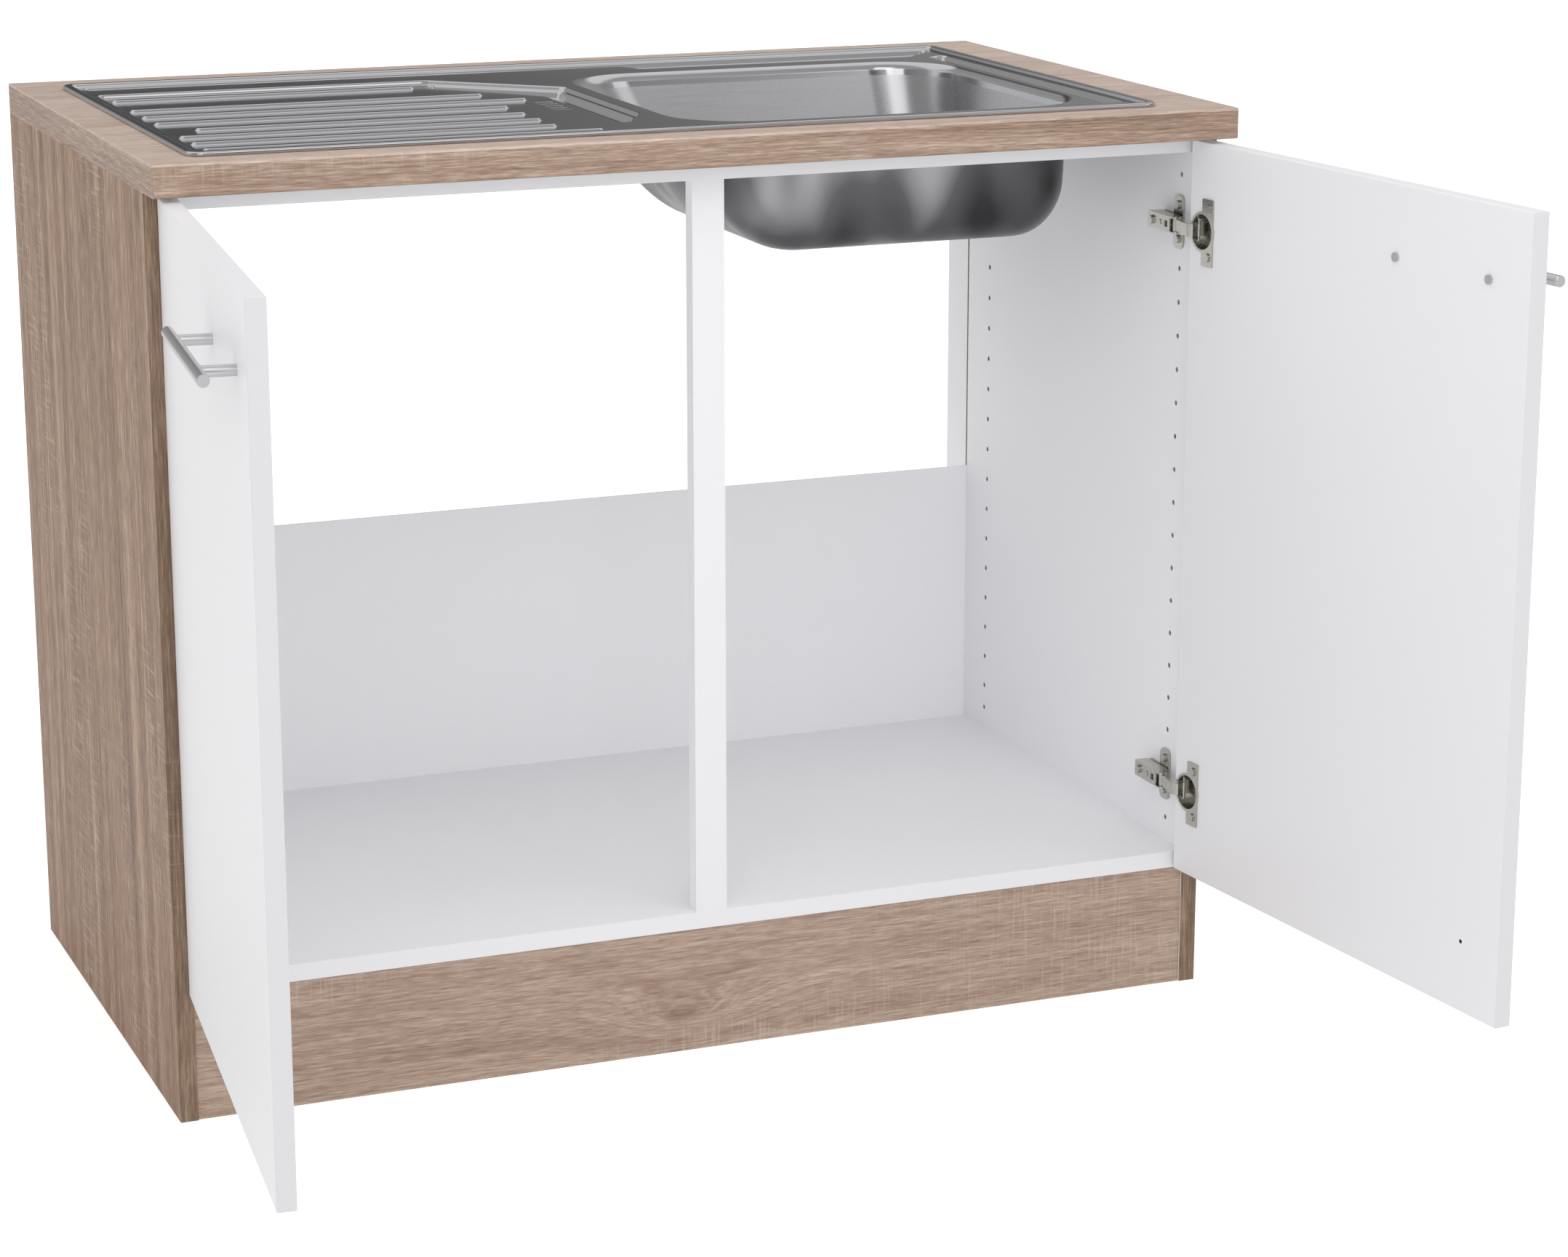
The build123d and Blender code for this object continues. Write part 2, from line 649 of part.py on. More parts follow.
clamp_spots = [((clip_x0, front + y), (-1, 0)) for y in side_clamp_rows]
clamp_spots = clamp_spots + [((clip_x1, front + y), (1, 0)) for y in side_clamp_rows]
clamp_spots = clamp_spots + [((x, clip_y1), (0, 1)) for x in back_clamp_rows]
clamp_head = 4.0
clamp_sole = side_h - clamp_gap
clamp_screw_out = clamp_foot - 6.0

with BuildPart() as sink_clamps:
    for (x, y), (ox, oy) in clamp_spots:
        spot = Plane(origin=(x, y, 0), x_dir=(ox, oy, 0), z_dir=(oy, -ox, 0))
        with BuildSketch(spot):
            with BuildLine():
                Polyline((0, top_z - clamp_head), (clamp_t, top_z - clamp_head), (clamp_t, clamp_sole),
                         (clamp_foot, clamp_sole), (clamp_foot, clamp_sole - clamp_t),
                         (0, clamp_sole - clamp_t), close=True)
            make_face()
        extrude(amount=clamp_w / 2, both=True)
        at = up_plane(x + ox * clamp_screw_out, y + oy * clamp_screw_out, clamp_sole)
        with BuildSketch(at):
            Circle(screw_d / 2)
        extrude(amount=-clamp_t, mode=Mode.SUBTRACT)
save(sink_clamps.part, "sink_clamps")

with BuildPart() as sink_clamp_screws:
    for (x, y), (ox, oy) in clamp_spots:
        at = up_plane(x + ox * clamp_screw_out, y + oy * clamp_screw_out, side_h)
        with BuildSketch(at):
            Circle(screw_d / 2)
        extrude(amount=-clamp_screw_l)
        with BuildSketch(at.offset(-clamp_screw_l)):
            Circle(screw_head_d / 2)
        extrude(amount=-screw_head_t)
save(sink_clamp_screws.part, "sink_clamp_screws")

# ---------------------------------------------------------------- hinges: plates and arms
plate_x = inner_x - plate_t
ridge_x = plate_x - ridge_h + plate_t
arm_x = inner_x - arm_web_x
ridge_start = 30.0
arm_nose_r = arm_pin_x - arm_x
arm_in_w = arm_w - 2 * arm_wall
web_start = 4.5
ridge_top = inner_x - ridge_h
fix_screw_back = 60.0
set_screw_back = 44.0
window_back = 32.0
window = 6.0

with BuildPart() as hinge_plates:
    for z in hinge_rows:
        with BuildSketch(side_plane(0, z)) as plate:
            with Locations((hinge_row, 0)):
                RectangleRounded(plate_wing_w, plate_wing_h, plate_wing_w / 3)
            with Locations(((ridge_start + arm_back) / 2 - 1, 0)):
                Rectangle(arm_back - ridge_start, arm_w)
        extrude(amount=plate_t)
        with BuildSketch(side_plane(0, z, plate_x)):
            with Locations(((ridge_start + arm_back) / 2 - 1, 0)):
                Rectangle(arm_back - ridge_start, arm_in_w)
        extrude(amount=ridge_h - plate_t)
        with BuildSketch(side_plane(0, z, ridge_top)):
            with Locations((fix_screw_back, 0)):
                Circle(screw_d / 2)
        extrude(amount=-ridge_h + plate_t, mode=Mode.SUBTRACT)
        with BuildSketch(side_plane(hinge_row, z)):
            with GridLocations(1, 2 * plate_screw_z, 1, 2):
                Circle(pin_hole_d / 2)
        extrude(amount=plate_t, mode=Mode.SUBTRACT)
save_pair(hinge_plates.part, "hinge_plates")

with BuildPart() as hinge_plate_screws:
    for z in hinge_rows:
        with BuildSketch(side_plane(hinge_row, z, plate_x)):
            with GridLocations(1, 2 * plate_screw_z, 1, 2):
                Circle(screw_head_d / 2)
        extrude(amount=screw_head_t)
        with BuildSketch(side_plane(hinge_row, z, plate_x)):
            with GridLocations(1, 2 * plate_screw_z, 1, 2):
                Circle(pin_hole_d / 2)
        extrude(amount=-plate_t - pin_hole_depth + 0.5)
save_pair(hinge_plate_screws.part, "hinge_plate_screws")

cheek_x = inner_x - plate_t - 1.5
with BuildPart() as hinge_arms:
    for z in hinge_rows:
        with BuildSketch(up_plane(0, 0, z - arm_w / 2)):
            with BuildLine():
                Polyline((arm_x, arm_pin_y), (arm_x, front + arm_back), (cheek_x, front + arm_back),
                         (cheek_x, front + ridge_start), (arm_pin_x + arm_nose_r, arm_pin_y), close=True)
            make_face()
            with Locations((arm_pin_x, arm_pin_y)):
                Circle(arm_nose_r)
        extrude(amount=arm_w)
        with BuildSketch(up_plane(arm_x + arm_wall, arm_pin_y - arm_nose_r, z - arm_in_w / 2)):
            Rectangle(arm_web_x, arm_back, align=(Align.MIN, Align.MIN))
        extrude(amount=arm_in_w, mode=Mode.SUBTRACT)
        with BuildSketch(up_plane(arm_x, arm_pin_y - arm_nose_r, z - arm_in_w / 2)):
            Rectangle(arm_wall, arm_nose_r + web_start, align=(Align.MIN, Align.MIN))
        extrude(amount=arm_in_w, mode=Mode.SUBTRACT)
        with BuildSketch(up_plane(arm_pin_x, arm_pin_y, z - arm_w / 2)):
            Circle(arm_pin_d / 2)
        extrude(amount=arm_w, mode=Mode.SUBTRACT)
        with BuildSketch(side_plane(0, z, arm_x)):
            with Locations((fix_screw_back, 0)):
                Circle(screw_d / 2)
            with Locations((set_screw_back, 0)):
                Circle(pin_hole_d / 2)
            with Locations((window_back, 0)):
                Rectangle(window, window)
        extrude(amount=-arm_wall, mode=Mode.SUBTRACT)
save_pair(hinge_arms.part, "hinge_arms")

with BuildPart() as hinge_arm_screws:
    for z in hinge_rows:
        with BuildSketch(side_plane(fix_screw_back, z, arm_x)):
            Circle(screw_head_d / 2)
        extrude(amount=screw_head_t)
        with BuildSketch(side_plane(fix_screw_back, z, arm_x)):
            Circle(screw_d / 2)
        extrude(amount=-arm_web_x + plate_t)
        with BuildSketch(side_plane(set_screw_back, z, arm_x - 0.8)):
            Circle(pin_hole_d / 2)
        extrude(amount=-arm_web_x + ridge_h - 0.8)
save_pair(hinge_arm_screws.part, "hinge_arm_screws")

with BuildPart() as hinge_arm_pins:
    for z in hinge_rows:
        with BuildSketch(up_plane(arm_pin_x, arm_pin_y, z - arm_w / 2 - 0.6)):
            Circle(arm_pin_d / 2)
        extrude(amount=arm_w + 1.2)
save_pair(hinge_arm_pins.part, "hinge_arm_pins")

# ---------------------------------------------------------------- hinges: levers
mouth_x, mouth_y, mouth_z = door_point(cup_pin_edge, -3.6, 0)
bend_x, bend_y, bend_z = door_point(cup_pin_edge - 3.6, -lever_off - 0.8, 0)
lever_line = [(arm_pin_x, arm_pin_y), (arm_pin_x, arm_pin_y - 12.0), (arm_pin_x - 2.3, arm_pin_y - 16.0),
              (bend_x, bend_y), (mouth_x, mouth_y), (cup_pin_x, cup_pin_y)]
with BuildPart() as hinge_levers:
    for z in hinge_rows:
        with BuildSketch(up_plane(0, 0, z - lever_h / 2)):
            with BuildLine() as lever_path:
                FilletPolyline(*lever_line, radius=1.6)
            trace(lever_path.line, line_width=lever_t)
            with Locations((arm_pin_x, arm_pin_y)):
                Circle(arm_pin_d / 2 + eye_wall)
            with Locations((cup_pin_x, cup_pin_y)):
                Circle(cup_pin_d / 2 + eye_wall)
            with Locations((arm_pin_x, arm_pin_y)):
                Circle((arm_pin_d + pin_play) / 2, mode=Mode.SUBTRACT)
            with Locations((cup_pin_x, cup_pin_y)):
                Circle((cup_pin_d + pin_play) / 2, mode=Mode.SUBTRACT)
        extrude(amount=lever_h)
save_pair(hinge_levers.part, "hinge_levers")

# ---------------------------------------------------------------- doors
bar_mid = door_w - post_edge - post_pitch / 2
handle_z = door_z + door_h - handle_down
post_spots = [bar_mid - post_pitch / 2, bar_mid + post_pitch / 2]
cup_screw_l = 12.0

with BuildPart() as door:
    with BuildSketch(door_plan(door_z)):
        Rectangle(door_w, board, align=(Align.MIN, Align.MIN))
    extrude(amount=door_h)
    fillet(door.edges(), door_edge_r)
    for z in hinge_rows:
        with BuildSketch(inside_plane(cup_centre, z)):
            Circle(cup_d / 2)
        extrude(amount=-cup_depth, mode=Mode.SUBTRACT)
        with BuildSketch(inside_plane(cup_screw_a, z)):
            with GridLocations(1, 2 * cup_screw_z, 1, 2):
                Circle(screw_d / 2)
        extrude(amount=-cup_screw_l, mode=Mode.SUBTRACT)
    for a in post_spots:
        with BuildSketch(inside_plane(a, handle_z)):
            Circle(screw_d / 2)
        extrude(amount=-board, mode=Mode.SUBTRACT)
    with BuildSketch(inside_plane(door_w - pilot_edge, door_z + pilot_up)):
        Circle(pilot_d / 2)
    extrude(amount=-pilot_depth, mode=Mode.SUBTRACT)
save_pair(door.part, "door")

# ---------------------------------------------------------------- hinges: cups in the doors
cup_pin_l = 2 * sqrt((cup_d / 2) ** 2 - (cup_centre - cup_pin_edge + cup_pin_d / 2) ** 2) - 0.2
notch_w = lever_h + 2 * notch_play
notch_wall = 0.8
cup_floor = 1.0
with BuildPart() as hinge_cups:
    for z in hinge_rows:
        with BuildSketch(inside_plane(cup_centre, z)):
            Circle(cup_d / 2)
        extrude(amount=-cup_depth)
        with BuildSketch(inside_plane(cup_centre, z)):
            Circle(cup_d / 2 + cup_rim)
            with Locations((flange_start + flange_w / 2 - cup_centre, 0)):
                RectangleRounded(flange_w, flange_h, cup_rim)
        extrude(amount=flange_t)
        with BuildSketch(inside_plane(cup_centre, z, -flange_t)):
            Circle(cup_d / 2 - cup_wall)
        extrude(amount=-flange_t - cup_depth + cup_floor, mode=Mode.SUBTRACT)
        with BuildSketch(inside_plane(cup_centre, z)):
            Rectangle(cup_d / 2 - notch_wall, notch_w, align=(Align.MAX, Align.CENTER))
        extrude(amount=-cup_depth + cup_floor, mode=Mode.SUBTRACT)
        with BuildSketch(inside_plane(cup_centre, z)):
            Rectangle(cup_d, notch_w, align=(Align.MAX, Align.CENTER))
        extrude(amount=flange_t, mode=Mode.SUBTRACT)
        with BuildSketch(inside_plane(cup_screw_a, z)):
            with GridLocations(1, 2 * cup_screw_z, 1, 2):
                Circle(screw_d / 2)
        extrude(amount=flange_t, mode=Mode.SUBTRACT)
        with BuildSketch(up_plane(cup_pin_x, cup_pin_y, z - cup_pin_l / 2)):
            Circle(cup_pin_d / 2)
        extrude(amount=cup_pin_l, mode=Mode.SUBTRACT)
save_pair(hinge_cups.part, "hinge_cups")

with BuildPart() as hinge_cup_pins:
    for z in hinge_rows:
        with BuildSketch(up_plane(cup_pin_x, cup_pin_y, z - cup_pin_l / 2)):
            Circle(cup_pin_d / 2)
        extrude(amount=cup_pin_l)
save_pair(hinge_cup_pins.part, "hinge_cup_pins")

cup_head_t = 1.6
with BuildPart() as hinge_cup_screws:
    for z in hinge_rows:
        with BuildSketch(inside_plane(cup_screw_a, z, -flange_t)):
            with GridLocations(1, 2 * cup_screw_z, 1, 2):
                Circle(screw_head_d / 2)
        extrude(amount=cup_head_t)
        with BuildSketch(inside_plane(cup_screw_a, z, -flange_t)):
            with GridLocations(1, 2 * cup_screw_z, 1, 2):
                Circle(screw_d / 2)
        extrude(amount=-flange_t - cup_screw_l)
save_pair(hinge_cup_screws.part, "hinge_cup_screws")

# ---------------------------------------------------------------- handles
bar_out = board + bar_off
post_screw_l = 8.0
with BuildPart() as handle_bar:
    start = door_point(bar_mid - bar_l / 2, bar_out, handle_z)
    with BuildSketch(Plane(origin=start, x_dir=(0, 0, 1), z_dir=(ux, uy, 0))):
        Circle(bar_d / 2)
    extrude(amount=bar_l)
    chamfer(handle_bar.edges().filter_by(GeomType.CIRCLE), 0.5)
save_pair(handle_bar.part, "handle_bar")

with BuildPart() as handle_posts:
    for a in post_spots:
        with BuildSketch(inside_plane(a, handle_z, board)):
            Circle(post_d / 2)
        extrude(amount=-bar_off)
    add(handle_bar.part, mode=Mode.SUBTRACT)
    for a in post_spots:
        with BuildSketch(inside_plane(a, handle_z, board)):
            Circle(screw_d / 2)
        extrude(amount=-post_screw_l, mode=Mode.SUBTRACT)
save_pair(handle_posts.part, "handle_posts")

with BuildPart() as handle_screws:
    for a in post_spots:
        with BuildSketch(inside_plane(a, handle_z)):
            Circle(screw_head_d / 2)
        extrude(amount=screw_head_t)
        with BuildSketch(inside_plane(a, handle_z)):
            Circle(screw_d / 2)
        extrude(amount=-board - post_screw_l)
save_pair(handle_screws.part, "handle_screws")
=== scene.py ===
from math import cos, pi, radians, sin

import bmesh
import bpy
from mathutils import Matrix, Vector


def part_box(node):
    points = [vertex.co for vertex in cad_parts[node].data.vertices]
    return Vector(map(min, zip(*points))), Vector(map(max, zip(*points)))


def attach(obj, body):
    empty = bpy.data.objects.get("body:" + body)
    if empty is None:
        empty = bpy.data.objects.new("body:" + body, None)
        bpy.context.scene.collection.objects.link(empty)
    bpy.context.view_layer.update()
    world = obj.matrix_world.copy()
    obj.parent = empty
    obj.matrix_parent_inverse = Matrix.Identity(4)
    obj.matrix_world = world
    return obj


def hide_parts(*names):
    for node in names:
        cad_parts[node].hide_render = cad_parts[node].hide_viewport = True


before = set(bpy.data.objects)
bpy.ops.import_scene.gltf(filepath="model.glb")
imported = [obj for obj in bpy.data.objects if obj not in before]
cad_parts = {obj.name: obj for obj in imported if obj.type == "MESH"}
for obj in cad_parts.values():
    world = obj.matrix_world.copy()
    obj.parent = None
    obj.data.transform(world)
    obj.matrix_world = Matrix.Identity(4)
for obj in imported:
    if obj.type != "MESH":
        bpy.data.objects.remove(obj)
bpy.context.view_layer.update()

# Sizes of the sink unit in metres, as in the part's source. FRONT is the carcass's front edge.
FRONT = -0.0309407
SIDE_OUT, SIDE_IN = 0.5, 0.484
TOP_FRONT, TOP_UNDER, TOP_Z = FRONT - 0.040, 0.822, 0.850
DOOR_OPEN = radians(96)
PILOT_EDGE, PILOT_Z, PILOT_R, PILOT_DEEP = 0.052, 0.181, 0.0019, 0.010
SINK_X0, SINK_Y0 = -0.462, FRONT - 0.006
SINK_W, SINK_D, RIM_R = 0.900, 0.510, 0.014
DECK_Z, DRAINER_Z, BOWL_Z = 0.851, 0.847, 0.724
BOWL_X0, BOWL_X1, BOWL_Y0, BOWL_Y1 = 0.002, 0.388, FRONT + 0.037, FRONT + 0.405
FOOT_X0, FOOT_X1, FOOT_Y0, FOOT_Y1 = 0.068, 0.386, FRONT + 0.050, FRONT + 0.368
WASTE_R = 0.026
SHEET = 0.001

# How far a face's colour reaches into its board: on the sides, on the front edges of the sides and
# the upright edges of the doors, on the white boards' front edges, and on the worktop's front,
# underside and top.
SIDE_SKIN, EDGE_SKIN, SHADE_BAND_SKIN = 0.0005, 0.0006, 0.0004
NOSE_SKIN, UNDER_SKIN, TOP_SKIN = 0.006, 0.0003, 0.0022


# ---------------------------------------------------------------- shader wires
class Wire:
    """A value on a wire of a node tree, with the maths that the finishes use."""

    def __init__(self, tree, out):
        self.tree, self.out = tree, out

    def maths(self, operation, a, b=0.0, clamp=False):
        n = self.tree.nodes.new("ShaderNodeMath")
        n.operation, n.use_clamp = operation, clamp
        for socket, value in zip(n.inputs, (a, b)):
            if isinstance(value, Wire):
                self.tree.links.new(value.out, socket)
            else:
                socket.default_value = value
        return Wire(self.tree, n.outputs[0])

    def __add__(self, other):
        return self.maths("ADD", self, other)

    def __sub__(self, other):
        return self.maths("SUBTRACT", self, other)

    def __rsub__(self, other):
        return self.maths("SUBTRACT", other, self)

    def __mul__(self, other):
        return self.maths("MULTIPLY", self, other)

    def above(self, level):
        return self.maths("GREATER_THAN", self, level)

    def below(self, level):
        return self.maths("LESS_THAN", self, level)

    def size(self):
        return self.maths("ABSOLUTE", self)

    def clamped(self):
        return self.maths("ADD", self, 0.0, clamp=True)


class Shading:
    """A node tree. node() makes any node: its type, its settings, then its sockets. It returns the
    wire of one output, or a list of wires where out is a tuple."""

    def __init__(self, tree):
        self.tree = tree

    def node(self, kind, settings=None, sockets=None, out=0):
        n = self.tree.nodes.new("ShaderNode" + kind)
        for name, value in (settings or {}).items():
            if name == "stops":
                ramp = n.color_ramp
                while len(ramp.elements) < len(value):
                    ramp.elements.new(0.5)
                for stop, (place, colour) in zip(ramp.elements, value):
                    stop.position, stop.color = place, (*colour, 1.0)
            else:
                setattr(n, name, value)
        for name, value in (sockets or {}).items():
            if isinstance(value, Wire):
                self.tree.links.new(value.out, n.inputs[name])
            else:
                n.inputs[name].default_value = value
        if isinstance(out, tuple):
            return [Wire(self.tree, n.outputs[o]) for o in out]
        return Wire(self.tree, n.outputs[out])

    def axes(self, place):
        return self.node("SeparateXYZ", None, {0: place}, out=(0, 1, 2))

    def blend(self, factor, a, b):
        """Colour a where factor is 0 and b where it is 1."""
        a, b = [v if isinstance(v, Wire) else (*v, 1.0) for v in (a, b)]
        return self.node("Mix", {"data_type": "RGBA"}, {0: factor, 6: a, 7: b}, out=2)

    def either(self, factor, a, b):
        """Vector a where factor is 0 and b where it is 1."""
        return self.node("Mix", {"data_type": "VECTOR"}, {0: factor, 4: a, 5: b}, out=1)

    def ramp(self, value, stops):
        return self.node("ValToRGB", {"stops": stops}, {"Fac": value})

    def noise(self, place, scale=1.0, detail=2.0, rough=0.5):
        return self.node("TexNoise", None, {"Vector": place, "Scale": scale, "Detail": detail,
                                            "Roughness": rough, "Distortion": 0.0})

    def stretch(self, place, x, y, z):
        return self.node("VectorMath", {"operation": "MULTIPLY"}, {0: place, 1: (x, y, z)})


def tone(r, g, b):
    """An sRGB colour, from 0 to 255, as linear light."""
    return tuple(v / 255 / 12.92 if v <= 10 else ((v / 255 + 0.055) / 1.055) ** 2.4
                 for v in (r, g, b))


class Finish(Shading):
    """A material on one Principled shader. Constants are set on its own sockets."""

    def __init__(self, name, **constants):
        self.material = bpy.data.materials.new(name)
        self.material.use_nodes = True
        super().__init__(self.material.node_tree)
        self.shader = next(n for n in self.tree.nodes if n.type == "BSDF_PRINCIPLED")
        for socket, value in constants.items():
            self.shader.inputs[socket.replace("_", " ")].default_value = value
        self.place = self.node("TexCoord", out="Object")
        self.x, self.y, self.z = self.axes(self.place)

    def feed(self, socket, wire):
        self.tree.links.new(wire.out, self.shader.inputs[socket])

    def bump(self, height, depth, strength):
        self.feed("Normal", self.node("Bump", None, {"Height": height, "Distance": depth,
                                                     "Strength": strength}))

    def put_on(self, *nodes):
        for name in nodes:
            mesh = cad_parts[name].data
            mesh.materials.clear()
            mesh.materials.append(self.material)


# ---------------------------------------------------------------- finishes: boards
OAK = (tone(143, 119, 102), tone(176, 152, 135), tone(203, 184, 169))
# Oak tones for the side panels: their stronger grain contrast is the wood's own, and their darker
# level overall is painted shade.
OAK_SIDES_SHADED = (tone(94, 66, 46), tone(148, 117, 93), tone(204, 174, 151))
OAK_EDGES = (tone(126, 101, 85), tone(162, 137, 119), tone(198, 177, 161))
OAK_TOP = (tone(166, 144, 130), tone(196, 174, 160), tone(218, 201, 189))
OAK_PORE, OAK_HEART, OAK_SAW = tone(122, 99, 84), tone(118, 92, 76), tone(214, 198, 184)
OAK_SIDE_EDGE = tone(112, 97, 82)
# The last colour on this line is painted shade for the doors' pilot holes, which are not cut.
CHIP_DARK, CHIP_PALE, PILOT_HOLE_SHADE = tone(150, 112, 74), tone(214, 182, 138), tone(66, 56, 48)
WHITE, WHITE_COOL = tone(252, 252, 254), tone(248, 248, 251)
# The greyer whites on this line are painted shade on the white boards' front edges.
SHADED_EDGE_WHITE, SHADED_EDGE_COOL = tone(236, 236, 238), tone(232, 233, 236)
# The last grey on this line is painted shade on the doors' upright edges; the other two are the
# doors' own white.
DOOR_WHITE, DOOR_COOL, DOOR_EDGE_SHADE = tone(241, 241, 243), tone(237, 237, 240), tone(214, 214, 217)
BACKING, BACKING_COOL = tone(226, 225, 222), tone(216, 215, 212)


def oak_colour(f, along, knots=(), tones=OAK):
    """Pale sawn-oak foil: a quiet figure, fine fibres, short pores and light saw marks across the
    grain. along is the place with the grain turned to X, and knots are (x, y, z, size) in it, where
    the figure bends round. tones are the dark, middle and light of the grain. Returns the colour
    and the fibres' height."""
    run, side, deep = f.axes(along)
    bend = f.noise(f.stretch(along, 1.1, 3.2, 3.2), detail=2.0, rough=0.5)
    across = side + deep + bend * 0.030
    heart = None
    for x, y, z, size in knots:
        long = size * 3.2
        spot = f.node("Mapping", {"vector_type": "POINT"},
                      {"Vector": along, "Location": (-x / long, -y / size, -z / size),
                       "Scale": (1 / long, 1 / size, 1 / size)})
        near = f.node("TexGradient", {"gradient_type": "SPHERICAL"}, {"Vector": spot}, out="Fac")
        across = across + near * near * size * 0.85
        heart = near if heart is None else heart + near
    lines = [f.node("CombineXYZ", None, {0: run * 0.9, 1: across * 34.0, 2: 0.0}),
             f.node("CombineXYZ", None, {0: run * 1.6, 1: across * 150.0, 2: 3.7}),
             f.node("CombineXYZ", None, {0: run * 14.0, 1: across * 460.0, 2: deep * 120.0})]
    figure = f.noise(lines[0], 1.0, 3.0, 0.55)
    rings = f.noise(lines[1], 1.0, 2.0, 0.6)
    streak = f.noise(lines[2], 1.0, 3.0, 0.65)
    fibre = f.noise(f.stretch(along, 44.0, 760.0, 760.0), detail=3.0, rough=0.65)
    pores = f.noise(f.stretch(along, 75.0, 950.0, 950.0), detail=2.0)
    shade = (figure * 0.62 + rings * 0.34 + streak * 0.80 + fibre * 1.05 - 0.905).clamped()
    colour = f.ramp(shade, list(zip((0.20, 0.50, 0.82), tones)))
    colour = f.blend(((pores - 0.53) * 4.0).clamped() * 0.50, colour, OAK_PORE)
    if heart is not None:
        colour = f.blend(((heart - 0.86) * 9.0).clamped() * 0.55, colour, OAK_HEART)
    saw = f.noise(f.stretch(along, 420.0, 16.0, 16.0), detail=2.0, rough=0.75)
    patch = f.noise(f.stretch(along, 2.4, 9.0, 9.0), detail=1.0)
    saw_mark = ((saw - 0.54) * 6.0).clamped() * ((patch - 0.49) * 7.0).clamped() * 0.46
    return f.blend(saw_mark, colour, OAK_SAW), fibre


def chip_colour(f):
    """Bare chipboard: small flakes of two browns."""
    flakes = f.node("TexVoronoi", {"feature": "F1"},
                    {"Vector": f.place, "Scale": 700.0, "Randomness": 1.0}, out="Color")
    grey = f.node("RGBToBW", None, {"Color": flakes})
    mixed = grey * 0.8 + f.noise(f.place, 160.0, 2.0) * 0.4 - 0.1
    return f.blend(mixed.clamped(), CHIP_DARK, CHIP_PALE)


def white_colour(f, pale=WHITE, cool=WHITE_COOL):
    """A white that drifts faintly between two shades."""
    return f.blend((f.noise(f.place, 7.0, 2.0) * 0.5).clamped(), pale, cool)


def oak_boards():
    """Side panels: oak outside and on the front edge, white inside, bare chipboard elsewhere."""
    f = Finish("oak_side_panels", Roughness=0.5, Specular_IOR_Level=0.35)
    turned = f.node("CombineXYZ", None, {0: f.z, 1: f.y, 2: f.x})
    # The sides' darker oak is partly painted shade and partly their stronger grain.
    oak, fibre = oak_colour(f, turned, tones=OAK_SIDES_SHADED)
    inside = f.x.size().below(SIDE_IN + SIDE_SKIN)
    outer = f.x.size().above(SIDE_OUT - SIDE_SKIN)
    edge = f.y.below(FRONT + EDGE_SKIN)
    oaken = (outer + edge).clamped()
    oak = f.blend(edge * 0.50, oak, OAK_SIDE_EDGE)
    colour = f.blend(oaken, chip_colour(f), oak)
    colour = f.blend(inside * (1.0 - edge), colour, white_colour(f))
    f.feed("Base Color", colour)
    f.feed("Roughness", 0.56 - fibre * oaken * 0.14)
    f.bump(fibre * oaken, 0.00012, 0.6)
    f.put_on("side_panel_left", "side_panel_right")


def oak_worktop():
    """Worktop: oak on its top, ends and front, a pale backing below and chipboard elsewhere."""
    f = Finish("oak_worktop", Roughness=0.42, Specular_IOR_Level=0.4)
    end = f.x.size().above(SIDE_OUT - SIDE_SKIN)
    top = f.z.above(TOP_Z - TOP_SKIN)
    front = f.y.below(TOP_FRONT + NOSE_SKIN)
    under = f.z.below(TOP_UNDER + UNDER_SKIN)
    turned = f.node("CombineXYZ", None, {0: f.y, 1: f.x, 2: f.z})
    edges = oak_colour(f, f.either(end, f.place, turned), tones=OAK_EDGES)[0]
    pale, fibre = oak_colour(f, f.place, tones=OAK_TOP)
    skin = (top + end + front).clamped()
    bare = f.blend(under, chip_colour(f), white_colour(f, BACKING, BACKING_COOL))
    f.feed("Base Color", f.blend(skin, bare, f.blend(top, edges, pale)))
    f.feed("Roughness", 0.50 - fibre * 0.12)
    f.bump(fibre * skin, 0.00012, 0.6)
    f.put_on("worktop")


def oak_plinth():
    """Plinth: the grain runs along it and bends round one knot on its face."""
    f = Finish("oak_plinth", Roughness=0.5, Specular_IOR_Level=0.35)
    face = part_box("plinth_panel")[0][1]
    knot_x, knot_z, knot_size = -0.028, 0.036, 0.055
    oak, fibre = oak_colour(f, f.place, knots=[(knot_x, face, knot_z, knot_size)])
    f.feed("Base Color", oak)
    f.feed("Roughness", 0.56 - fibre * 0.14)
    f.bump(fibre, 0.00012, 0.6)
    f.put_on("plinth_panel")


def white_boards():
    """White melamine with a faint grain in its sheen, and greyer bands of painted shade on its
    front edges.
    """
    f = Finish("white_melamine", Roughness=0.45, Specular_IOR_Level=0.4)
    # The greyer band on the front edges is painted shade.
    shaded_band = f.y.below(FRONT + SHADE_BAND_SKIN)
    f.feed("Base Color", f.blend(shaded_band, white_colour(f), white_colour(f, SHADED_EDGE_WHITE, SHADED_EDGE_COOL)))
    peel = f.noise(f.place, 1100.0, 2.0, 0.6)
    f.feed("Roughness", peel * 0.12 + 0.36)
    f.bump(peel, 0.00004, 0.35)
    f.put_on("floor_panel", "front_top_rail", "rear_top_rail", "centre_mullion")


